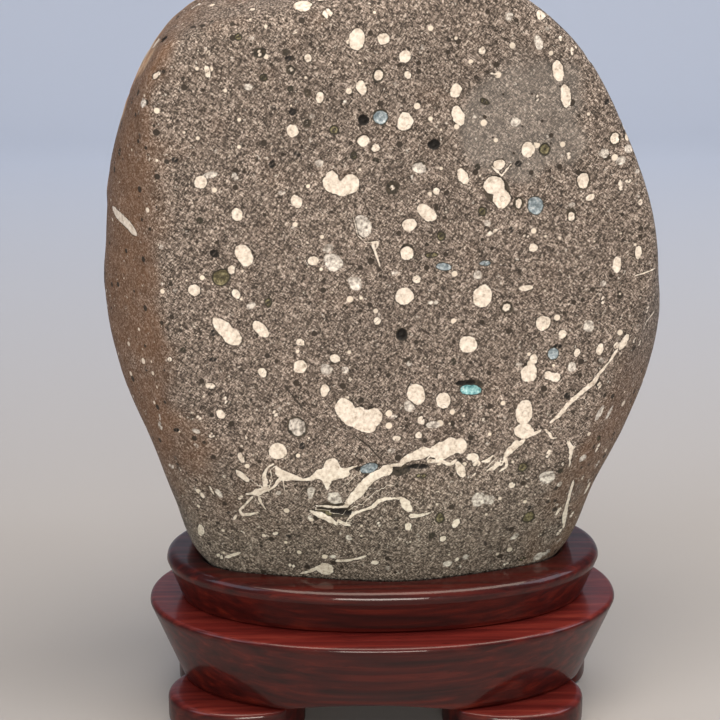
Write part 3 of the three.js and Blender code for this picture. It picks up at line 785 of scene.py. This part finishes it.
# %% Material: ground basalt
def basalt(stored_names):
    """Ground basalt with mineral fillings: matt, speckled, with crisp cream spots and dark pits."""
    material = bpy.data.materials.new("ground_basalt")
    material.use_nodes = True
    tree = material.node_tree
    tree.nodes.clear()
    place = add(tree, "TexCoord").outputs["Object"]
    stored = {
        name: add(tree, "Attribute", attribute_name=name, attribute_type="GEOMETRY").outputs["Fac"]
        for name in stored_names
    }

    # the salt and pepper
    grain = grain_of(tree, place)
    colour = add(tree, "ValToRGB", {"Fac": grain}, stops=[
        (0.24, "#28221c"), (0.4, "#473e36"), (0.5, "#63584f"), (0.62, "#84776c"), (0.78, "#bdb0a3"),
    ])

    # where the face is warmer or smoother, the grain shows less
    for share, over, name in [(0.6, "#6f4d31", "warm"), (0.35, "#7c7872", "fine_patch")]:
        mask = add(tree, "Math", {0: stored[name], 1: share}, operation="MULTIPLY")
        colour = add(tree, "Mix", {"Factor": mask, "A": colour, "B": srgb(over)}, data_type="RGBA")

    # the natural skin: weathered brown with a cream to orange rind
    broad = add(tree, "TexNoise", {"Vector": place, "Scale": per_mm(12), "Detail": 5.0,
                                   "Roughness": 0.62})
    brown = add(tree, "ValToRGB", {"Fac": broad}, stops=[
        (0.34, "#3f3026"), (0.5, "#664c38"), (0.62, "#8a6a4d"), (0.74, "#b39273"),
    ])
    rind = add(tree, "ValToRGB", {"Fac": broad}, stops=[
        (0.36, "#a9744b"), (0.48, "#c39a73"), (0.6, "#d8c2a2"), (0.72, "#e6dac6"),
    ])
    skin_grain = add(tree, "Mix", {"Factor": 0.42, "A": brown, "B": colour}, data_type="RGBA")
    layers = [(stored["natural"], skin_grain), (stored["rind"], rind)]

    # specks, wisps and pits too small for the mesh; the pits are drawn dark, as painted shade
    wisp = add(tree, "TexNoise", {"Vector": place, "Scale": per_mm(1.5), "Detail": 3.0,
                                  "Roughness": 0.65})
    wisps = add(tree, "MapRange", {"Value": wisp, "From Min": 0.665, "From Max": 0.7, "To Max": 0.7})
    pits = specks_of(tree, place, 3.0, 0.36)
    layers += [
        (wisps, srgb("#c9c3b8")), (pits, srgb("#30281f")),
        (specks_of(tree, place, 4.2, 0.26), srgb("#d5c9b8")),
    ]

    # the markings, from the lowest to the topmost
    wavy = add(tree, "TexNoise", {"Vector": place, "Scale": per_mm(1.7), "Detail": 4.0,
                                  "Roughness": 0.7})
    jitter = add(tree, "Math", {0: wavy, 1: 0.5}, operation="SUBTRACT")
    inner = add(tree, "TexNoise", {"Vector": place, "Scale": per_mm(1.3), "Detail": 3.0,
                                   "Roughness": 0.65})
    lines = {}
    for name in ("vein", "crack"):
        aside = add(tree, "Math", {0: stored[name + "_side"]}, operation="ABSOLUTE")
        lines[name] = add(tree, "Math", {0: aside, 1: stored[name + "_half"]}, operation="SUBTRACT")
    cream = add(tree, "Math", {0: stored["cream"], 1: lines["vein"], 2: 0.5}, operation="SMOOTH_MIN")

    halo_and_shade_tone = add(tree, "ValToRGB", {"Fac": inner}, stops=[(0.35, "#1f1c15"), (0.6, "#453d31")])
    olive_tone = add(tree, "ValToRGB", {"Fac": inner}, stops=[
        (0.36, "#3f3a26"), (0.5, "#5c553d"), (0.64, "#8b8463"),
    ])
    blue_tone = add(tree, "ValToRGB", {"Fac": inner}, stops=[
        (0.36, "#515e64"), (0.5, "#7d8a90"), (0.6, "#a3adb1"), (0.7, "#cdd1d1"),
    ])
    copper_tone = add(tree, "ValToRGB", {"Fac": inner}, stops=[
        (0.34, "#2f5f66"), (0.5, "#6b9fa2"), (0.62, "#93bfc0"), (0.72, "#c9dcd9"),
    ])
    smoky_tone = add(tree, "ValToRGB", {"Fac": inner}, stops=[
        (0.34, "#6f685f"), (0.46, "#a8a198"), (0.58, "#d3ccc1"), (0.7, "#ebe5da"),
    ])
    cream_tone = add(tree, "ValToRGB", {"Fac": inner}, stops=[
        (0.26, "#8f8272"), (0.38, "#bfb2a2"), (0.5, "#d6cbbc"), (0.66, "#e6ddd0"),
    ])
    # painted shade: a dark band round parts of each cream spot's edge, where the filling lies lower;
    uneven = add(tree, "TexNoise", {"Vector": place, "Scale": per_mm(2.2), "Detail": 1.0})
    rim_shade_share = add(tree, "MapRange", {"Value": uneven, "From Min": 0.42, "From Max": 0.56,
                                       "To Max": 0.85})
    # the same band is also a shallow groove in the bump
    cream_groove_and_shade = filled(tree, cream, jitter, 1.3, 0.12, 0.36)
    painted_rim_shade = add(tree, "Math", {0: cream_groove_and_shade, 1: rim_shade_share}, operation="MULTIPLY")
    cream_mask = filled(tree, cream, jitter, 1.3)
    layers += [
        (filled(tree, lines["crack"], jitter, 0.5), srgb("#2b251c")),
        # dark rings round some spots, and patches of painted shade beside the vein band
        (filled(tree, stored["halo_and_shade"], jitter, 0.8), halo_and_shade_tone),
        (filled(tree, stored["olive"], jitter, 0.9), srgb("#29251a")),
        (filled(tree, stored["olive"], jitter, 0.9, 0.15, -0.5), olive_tone),
        # painted shade: the pits and the strips by the veins are drawn near-black
        (filled(tree, stored["hollow"], jitter, 0.8, 0.18), srgb("#17130f")),
        (filled(tree, stored["blue"], jitter, 0.8, 0.12, 0.3), srgb("#2a2a22")),
        (filled(tree, stored["blue"], jitter, 0.8), blue_tone),
        (filled(tree, stored["copper"], jitter, 0.8, 0.12, 0.3), srgb("#22251f")),
        (filled(tree, stored["copper"], jitter, 0.8), copper_tone),
        (filled(tree, stored["smoky"], jitter, 1.6, 0.16), smoky_tone),
        (painted_rim_shade, srgb("#2e261d")),
        (cream_mask, cream_tone),
    ]
    for mask, tone in layers:
        colour = add(tree, "Mix", {"Factor": mask, "A": colour, "B": tone}, data_type="RGBA")

    # slow changes of tone, over a few millimetres and over several centimetres
    for size, spread in [(4, 0.14), (15, 0.08), (55, 0.08)]:
        cloud = add(tree, "TexNoise", {"Vector": place, "Scale": per_mm(size), "Detail": 3.0})
        gain = add(tree, "MapRange", {"Value": cloud, "From Min": 0.3, "From Max": 0.7,
                                      "To Min": 1 - spread, "To Max": 1 + spread})
        gain = add(tree, "Mix", {"Factor": cream_mask, "A": gain, "B": 1.0})
        colour = add(tree, "Mix", {"Factor": 1.0, "A": colour, "B": gain}, data_type="RGBA",
                     blend_type="MULTIPLY")
    # darker and cooler towards the seat, on the front
    colour = add(tree, "Mix", {"Factor": stored["damp"], "A": colour, "B": srgb("#f2faf7")},
                 data_type="RGBA", blend_type="MULTIPLY")

    # bump: the grain, the scratches left by grinding, and the step at each filling's edge
    turned = add(tree, "Mapping", {
        "Vector": place, "Rotation": (0, math.radians(-52), 0), "Scale": (30 * MM, 30 * MM, 0.5 * MM),
    }, vector_type="TEXTURE")
    scratches = add(tree, "TexNoise", {"Vector": turned, "Scale": 1.0, "Detail": 2.0})
    relief = add(tree, "Math", {0: grain, 1: 0.14}, operation="MULTIPLY")
    for part, gain in [(scratches, 0.1), (pits, -0.4), (cream_groove_and_shade, -0.14), (cream_mask, 0.1)]:
        relief = add(tree, "Math", {0: part, 1: gain, 2: relief}, operation="MULTIPLY_ADD")
    bump = add(tree, "Bump", {"Height": relief, "Strength": 0.9, "Distance": 1.0 * MM})

    gloss = add(tree, "MapRange", {"Value": grain, "From Min": 0.3, "From Max": 0.75,
                                   "To Min": 0.85, "To Max": 0.55})
    shader = add(tree, "BsdfPrincipled", {
        "Base Color": colour, "Roughness": gloss, "IOR": 1.55, "Specular IOR Level": 0.3,
        "Normal": bump,
    })
    add(tree, "OutputMaterial", {"Surface": shader})
    return material


stone.data.materials.append(basalt(list(marks)))
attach(stone, "root")
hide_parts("stone")

# %% [markdown]
# ## The stand's ovals
#
# The stand is sawn and shaped by eye to an oval that is a little squarer than an ellipse. A point of
# it is the half-length times the cosine, and the half-depth times the sine, each bent by the same
# power. Turning a profile on a lathe would only give a circle, so each profile point gets its own
# oval, and the walls lean evenly all the way round.

# %% Stand: dimensions, in mm
FOOT_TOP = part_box("foot_front_left")[1].z / MM
TIER_BOTTOM, TIER_TOP = (corner.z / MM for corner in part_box("base_tier"))
RING_BOTTOM, RING_TOP = (corner.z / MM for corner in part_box("seat_ring"))
OVAL_POWER = 2.13
RING_OVAL = {"top": (76.5, 41.5), "bottom": (71.3, 36.3)}
TIER_OVAL = {"top": (82.9, 47.9), "bottom": (71.6, 36.6)}
ARCH_CENTRE, ARCH_HALF, ARCH_RISE = -6, 29, 3
SEAT_GAP = 0.5
ROUND_STEPS = 360
print("ring", RING_BOTTOM, RING_TOP, "tier", TIER_BOTTOM, TIER_TOP)


def oval(half_x, half_y, angle):
    """Points of the squarer oval: each half-axis times the bent cosine or sine of the angle."""
    cosine, sine = np.cos(angle), np.sin(angle)
    bend = 2 / OVAL_POWER
    return (half_x * np.sign(cosine) * np.abs(cosine) ** bend,
            half_y * np.sign(sine) * np.abs(sine) ** bend)


def arc(centre_x, centre_z, radius, start, end, steps):
    """Points on a circular arc, with angles in degrees."""
    turn = np.radians(np.linspace(start, end, steps))
    return np.stack([centre_x + radius * np.cos(turn), centre_z + radius * np.sin(turn)], axis=1)


def closed_rows(rows, columns):
    """Faces of a grid whose rows and columns both close on themselves, like a ring's."""
    r = np.arange(rows)[:, None]
    c = np.arange(columns)[None, :]
    r_next, c_next = (r + 1) % rows, (c + 1) % columns
    quad = [r * columns + c, r * columns + c_next, r_next * columns + c_next, r_next * columns + c]
    return np.stack([corner.ravel() for corner in np.broadcast_arrays(*quad)], axis=1)


def tube_with_ends(points, first_middle, last_middle):
    """Points and triangles of a grid of rows by columns by 3, whose columns close on themselves. A
    fan of triangles round a middle point closes the first row, and another closes the last."""
    rows, columns = points.shape[:2]
    sides = closed_rows(rows, columns)[:(rows - 1) * columns]
    flat = np.concatenate([points.reshape(-1, 3), [first_middle, last_middle]])
    c = np.arange(columns)
    c_next = (c + 1) % columns
    last_row = (rows - 1) * columns
    triangles = np.concatenate([
        sides[:, [0, 1, 2]], sides[:, [0, 2, 3]],
        np.stack([c_next, c, np.full_like(c, len(flat) - 2)], axis=1),
        np.stack([last_row + c, last_row + c_next, np.full_like(c, len(flat) - 1)], axis=1),
    ])
    return flat, triangles


# %% [markdown]
# ## The seat ring
#
# On the real stand this ring is one board. Its outside is rounded over at the top, and its inside
# is carved to the stone's foot, so that the stone stands in it without glue. A boolean cut would
# leave a ragged edge in the mesh. Instead the inner wall is found directly: at each height and
# angle, halving steps home in on the distance from the middle at which the stone's surface lies.

# %% Seat ring
def stone_share(x, y, z):
    """Below 1 inside the stone and above 1 outside it, for points of the finished object."""
    own_x = x * cosine + y * sine
    own_y = -x * sine + y * cosine
    offset = np.stack([own_x, own_y, z - STONE_CENTRE[2]], axis=-1)
    length = np.linalg.norm(offset, axis=-1)
    unit = (offset / length[..., None]).reshape(-1, 3)
    return length / stone_radius(unit).reshape(length.shape)


def seat_reach(angle, z):
    """Distance from the middle to the stone's surface along a level line, by halving steps."""
    near, far = np.zeros_like(angle), np.full_like(angle, 120.0)
    for _ in range(24):
        middle = (near + far) / 2
        inside = stone_share(middle * np.cos(angle), middle * np.sin(angle), z) < 1
        near, far = np.where(inside, middle, near), np.where(inside, far, middle)
    return near


def seat_ring():
    """A grid of profile points by angles. The profile starts at the bottom outside, climbs the
    leaning wall, rounds over the top edge, crosses to the seat and goes down its carved wall."""
    top_x, top_y = RING_OVAL["top"]
    bottom_x = RING_OVAL["bottom"][0]
    edge = 3.2
    wall_z = np.linspace(RING_BOTTOM + 0.4, RING_TOP - edge, 8)
    lean = (wall_z - RING_BOTTOM) / (RING_TOP - edge - RING_BOTTOM)
    wall = np.stack([bottom_x + (top_x - bottom_x) * lean, wall_z], axis=1)
    profile = np.concatenate([
        [[bottom_x - 0.5, RING_BOTTOM]], wall,
        arc(top_x - edge, RING_TOP - edge, edge, 8, 90, 11),
    ])
    angle = np.linspace(0, 2 * math.pi, ROUND_STEPS, endpoint=False)
    rows = []
    for half_x, z in profile:
        x, y = oval(half_x, half_x - (top_x - top_y), angle)
        rows.append(np.stack([x, y, np.full_like(x, z)], axis=1))
    last = rows[-1]
    plan_angle = np.arctan2(last[:, 1], last[:, 0])
    seat_edge = 1.2
    down = [(seat_edge * (1 - math.sin(t)), seat_edge * (1 - math.cos(t)))
            for t in np.radians([0, 22, 45, 68, 90])]
    down += [(0, depth) for depth in np.linspace(3, RING_TOP - RING_BOTTOM - 5, 7)]
    for outwards, depth in down:
        z = np.full_like(plan_angle, RING_TOP - depth)
        reach = seat_reach(plan_angle, z) + SEAT_GAP + outwards
        rows.append(np.stack([reach * np.cos(plan_angle), reach * np.sin(plan_angle), z], axis=1))
    lowest = rows[-1].copy()
    lowest[:, 2] = RING_BOTTOM
    rows.append(lowest)
    points = np.concatenate(rows)
    return add_mesh("seat_ring_carved", points, closed_rows(len(rows), ROUND_STEPS)[:, ::-1])


ring = seat_ring()

# %% [markdown]
# ## The base tier
#
# A thicker board, shaped to a wider oval that leans outwards. Its top edge is only broken with
# sandpaper, so it catches a thin line of light. Between the feet its lower edge rises in a shallow
# arch. A disc of rings makes the top and the bottom, and the bottom's height follows the arch:
# a circle's arc across the stand, and level beyond it.

# %% Base tier
def arch_height(x):
    """How far the underside is raised at a place across the stand."""
    radius = (ARCH_HALF ** 2 + ARCH_RISE ** 2) / (2 * ARCH_RISE)
    along = np.clip(np.abs(x - ARCH_CENTRE), 0, ARCH_HALF)
    return np.sqrt(radius ** 2 - along ** 2) - (radius - ARCH_RISE)


def base_tier():
    """Rings of points from the middle of the underside, out, up the wall, over the edge and back in.
    The first and the last ring shrink to nearly a point and are closed by one fan each."""
    top_x, top_y = TIER_OVAL["top"]
    bottom_x = TIER_OVAL["bottom"][0]
    narrower = top_x - top_y
    edge, under_edge = 1.6, 0.8
    across_bottom = bottom_x - under_edge
    wall_z = np.linspace(TIER_BOTTOM + under_edge, TIER_TOP - edge, 20)
    lean = (wall_z - TIER_BOTTOM) / (TIER_TOP - edge - TIER_BOTTOM)
    wall = np.stack([bottom_x + (top_x - bottom_x) * lean, wall_z], axis=1)
    profile = np.concatenate([
        wall, arc(top_x - edge, TIER_TOP - edge, edge, 12, 90, 8),
    ])
    angle = np.linspace(0, 2 * math.pi, ROUND_STEPS, endpoint=False)
    unit_x, unit_y = oval(across_bottom, across_bottom - narrower, angle)
    rows = [np.stack([unit_x * s, unit_y * s, np.full_like(angle, TIER_BOTTOM)], axis=1)
            for s in (0.001, 0.2, 0.4, 0.6, 0.75, 0.85, 0.93, 1)]
    for half_x, z in profile:
        x, y = oval(half_x, half_x - narrower, angle)
        rows.append(np.stack([x, y, np.full_like(x, z)], axis=1))
    last = rows[-1]
    rows += [last * (s, s, 1) for s in (0.95, 0.85, 0.6, 0.3, 0.001)]
    points = np.stack(rows)
    lift = arch_height(points[:, :, 0])
    fade = np.clip((TIER_BOTTOM + 10 - points[:, :, 2]) / 10, 0, 1)
    points[:, :, 2] += lift * fade
    middle_low = (0, 0, points[0, 0, 2])
    middle_high = (0, 0, points[-1, -1, 2])
    return add_mesh("base_tier_shaped", *tube_with_ends(points, middle_low, middle_high))


tier = base_tier()

# %% [markdown]
# ## The feet
#
# Each foot is a lobe of board glued under the tier, and its rounded outer side shows past the tier's
# edge as a crescent. It is a section carried along the oval: a rounded slab whose width swells
# by a sine from the end to the middle and back, and which shrinks to a line at both ends.

# %% Feet
FEET = {
    "foot_front_left": {"mirror": (-1, -1), "span": (3, 62)},
    "foot_front_right": {"mirror": (1, -1), "span": (18, 71)},
    "foot_rear_left": {"mirror": (-1, 1), "span": (7, 68)},
    "foot_rear_right": {"mirror": (1, 1), "span": (4, 63)},
}
FOOT_BULGE, FOOT_INSET, FOOT_THICKNESS = 13, 1.2, 16


def foot(name, mirror, span):
    """Sections along the oval by points round each section. A section is a superellipse: its
    width and height times the cosine and sine of an angle, each to a small power, which gives a
    slab with rounded edges. The last few sections close the ends like a quarter circle."""
    along_steps, section_steps = 64, 40
    share = 0.5 - 0.5 * np.cos(np.linspace(0, math.pi, along_steps))
    angle = np.radians(span[0] + (span[1] - span[0]) * share)
    lobe = FOOT_BULGE * np.sin(np.pi * share) ** 0.8 - FOOT_INSET
    half_x, half_y = TIER_OVAL["bottom"]
    outer = np.stack(oval(half_x + lobe, half_y + lobe, angle), axis=1)
    inner = np.stack(oval(half_x - FOOT_THICKNESS, half_y - FOOT_THICKNESS, angle), axis=1)
    close = np.clip(np.minimum(share, 1 - share) / 0.02, 0, 1)
    close = np.sqrt(1 - (1 - close) ** 2) * 0.98 + 0.02
    turn = np.linspace(0, 2 * math.pi, section_steps, endpoint=False)
    squareness = 0.3
    wide = np.sign(np.cos(turn)) * np.abs(np.cos(turn)) ** squareness
    tall = np.sign(np.sin(turn)) * np.abs(np.sin(turn)) ** squareness
    middle = (outer + inner) / 2
    reach = (outer - inner) / 2
    plan = middle[:, None, :] + reach[:, None, :] * (wide[None, :] * close[:, None])[:, :, None]
    z = FOOT_TOP / 2 * (1 + np.tile(tall, (along_steps, 1)))
    points = np.concatenate([plan * np.array(mirror), z[:, :, None]], axis=2)
    flat, triangles = tube_with_ends(points, points[0].mean(axis=0), points[-1].mean(axis=0))
    if mirror[0] * mirror[1] > 0:
        triangles = triangles[:, ::-1]
    return add_mesh(name + "_lobed", flat, triangles)


feet = {name: foot(name, **shape) for name, shape in FEET.items()}

# %% [markdown]
# ## Rosewood, stained and lacquered
#
# The wood is dark red and shows its grain only faintly under a thick, satin-glossy lacquer. The
# grain runs along the board, so its noise is stretched along X. Fine dark pores lie in it. The
# tops are painted lighter and the sides darker, as painted light from above, so each point holds
# how far up it faces. The lacquer is a clear coat: it gives bright lines on rounded edges.

# %% Material: rosewood
def lacquered_rosewood():
    """Dark red stained rosewood under a satin clear coat: deep colour, soft bright highlights."""
    material = bpy.data.materials.new("lacquered_rosewood")
    material.use_nodes = True
    tree = material.node_tree
    tree.nodes.clear()
    place = add(tree, "TexCoord").outputs["Object"]
    along = add(tree, "Mapping", {"Vector": place, "Scale": (70 * MM, 3 * MM, 3 * MM)},
                vector_type="TEXTURE")
    figure = add(tree, "TexNoise", {"Vector": along, "Scale": 1.0, "Detail": 4.0, "Distortion": 0.5})
    # painted light: a darker tone for the shaded sides and a lighter one for the lit faces that look up
    shaded_side_tone = add(tree, "ValToRGB", {"Fac": figure}, stops=[
        (0.3, "#220706"), (0.5, "#360c09"), (0.65, "#48130c"), (0.8, "#581d11"),
    ])
    lit_top_tone = add(tree, "ValToRGB", {"Fac": figure}, stops=[
        (0.3, "#451411"), (0.5, "#5b1c18"), (0.65, "#6a261f"), (0.8, "#773328"),
    ])
    facing_up = add(tree, "Attribute", attribute_name="facing_up", attribute_type="GEOMETRY")
    # how far a point faces up sets how much of the painted top light it gets
    painted_top_light = add(tree, "MapRange", {"Value": facing_up.outputs["Fac"], "From Min": 0.35,
                                    "From Max": 0.95})
    tone = add(tree, "Mix", {"Factor": painted_top_light, "A": shaded_side_tone, "B": lit_top_tone}, data_type="RGBA")
    fine = add(tree, "Mapping", {"Vector": place, "Scale": (9 * MM, 0.4 * MM, 0.4 * MM)},
               vector_type="TEXTURE")
    pores = add(tree, "TexNoise", {"Vector": fine, "Scale": 1.0, "Detail": 1.0})
    pore = add(tree, "MapRange", {"Value": pores, "From Min": 0.36, "From Max": 0.28, "To Max": 0.6})
    colour = add(tree, "Mix", {"Factor": pore, "A": tone, "B": srgb("#1f0706")}, data_type="RGBA")
    dust = add(tree, "TexNoise", {"Vector": place, "Scale": per_mm(0.5), "Detail": 2.0})
    waves = add(tree, "TexNoise", {"Vector": place, "Scale": per_mm(6), "Detail": 1.0})
    height = add(tree, "Math", {0: dust, 1: 0.12, 2: waves}, operation="MULTIPLY_ADD")
    height = add(tree, "Math", {0: pore, 1: -0.15, 2: height}, operation="MULTIPLY_ADD")
    bump = add(tree, "Bump", {"Height": height, "Strength": 0.3, "Distance": 0.3 * MM})
    shader = add(tree, "BsdfPrincipled", {
        "Base Color": colour, "Roughness": 0.45, "IOR": 1.5, "Specular IOR Level": 0.1,
        "Coat Weight": 0.5, "Coat Roughness": 0.08, "Coat IOR": 1.5,
        "Normal": bump, "Coat Normal": bump,
    })
    add(tree, "OutputMaterial", {"Surface": shader})
    return material


def facing_up(piece):
    """How far the surface faces up at each point, from -1 to 1: the height part of its normal."""
    normals = np.empty(3 * len(piece.data.vertices), dtype=np.float32)
    piece.data.vertex_normals.foreach_get("vector", normals)
    return normals[2::3]


rosewood = lacquered_rosewood()
for piece, node in [(ring, "seat_ring"), (tier, "base_tier"), *((feet[n], n) for n in FEET)]:
    piece.data.materials.append(rosewood)
    add_attribute(piece, "facing_up", facing_up(piece))
    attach(piece, "root")
    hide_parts(node)

# %% [markdown]
# ## Floor and light
#
# A pale sheet runs flat under the object and curves up behind it, so no horizon cuts the view. Large
# soft lamps stand for the windows and the ceiling of a room: a broad one high in front, a cool one
# on each side, and a low one that fills the shadows.

# %% Floor
def floor_sweep():
    """A strip extruded along X: flat, then a quarter circle, then upright."""
    bend, back, wide, tall = 700, 1100, 3000, 2600
    quarter = arc(back, bend, bend, -90, 0, 24)
    outline = np.concatenate([[[-2200, 0]], quarter, [[back + bend, tall]]])
    points = np.concatenate([
        np.stack([np.full(len(outline), side), outline[:, 0], outline[:, 1]], axis=1)
        for side in (-wide, wide)
    ])
    count = len(outline)
    i = np.arange(count - 1)
    return add_mesh("floor", points, np.stack([i, i + count, i + count + 1, i + 1], axis=1))


def pale_paper():
    """Matt paper: a warm grey near the object that turns cooler and paler where it rises behind."""
    material = bpy.data.materials.new("pale_paper")
    material.use_nodes = True
    tree = material.node_tree
    tree.nodes.clear()
    place = add(tree, "SeparateXYZ", {"Vector": add(tree, "TexCoord").outputs["Object"]})
    share = add(tree, "MapRange", {"Value": place.outputs["Y"], "From Min": 0.15, "From Max": 1.0})
    tone = add(tree, "ValToRGB", {"Fac": share}, stops=[(0.0, "#a8a5a2"), (1.0, "#c5ccd8")])
    shader = add(tree, "BsdfPrincipled", {
        "Base Color": tone, "Roughness": 0.8, "Specular IOR Level": 0.1,
    })
    add(tree, "OutputMaterial", {"Surface": shader})
    return material


floor = floor_sweep()
floor.data.materials.append(pale_paper())


# %% Light
def soft_lamp(name, place, aim_at, width, height, watts, code):
    """A rectangular lamp that faces a point; its size sets how soft its shadows are."""
    light = bpy.data.lights.new(name, "AREA")
    light.shape = "RECTANGLE"
    light.size, light.size_y = width, height
    light.energy = watts
    light.color = srgb(code)[:3]
    lamp = bpy.data.objects.new(name, light)
    lamp.location = place
    lamp.rotation_euler = (Vector(place) - Vector(aim_at)).to_track_quat("Z", "Y").to_euler()
    bpy.context.scene.collection.objects.link(lamp)
    return lamp


middle = (0, 0, 0.13)
soft_lamp("ceiling", (0.1, -0.4, 1.25), middle, 1.5, 0.6, 20, "#fff1e0")
soft_lamp("window_left", (-1.0, -0.6, 0.9), middle, 0.7, 0.7, 4, "#dfe9ff")
soft_lamp("window_right", (1.1, -0.3, 0.9), middle, 0.7, 0.7, 6, "#e6eeff")
soft_lamp("front_fill", (0.0, -1.3, 0.16), middle, 0.5, 0.4, 12, "#fff4e8")
soft_lamp("wall_wash", (0.0, 0.5, 1.3), (0, 1.6, 0.5), 1.6, 0.5, 9, "#e8efff")

world = bpy.data.worlds.new("room")
world.use_nodes = True
world.node_tree.nodes["Background"].inputs["Color"].default_value = srgb("#cdd3de")
world.node_tree.nodes["Background"].inputs["Strength"].default_value = 0.22
bpy.context.scene.world = world
bpy.context.scene.view_settings.view_transform = "Standard"
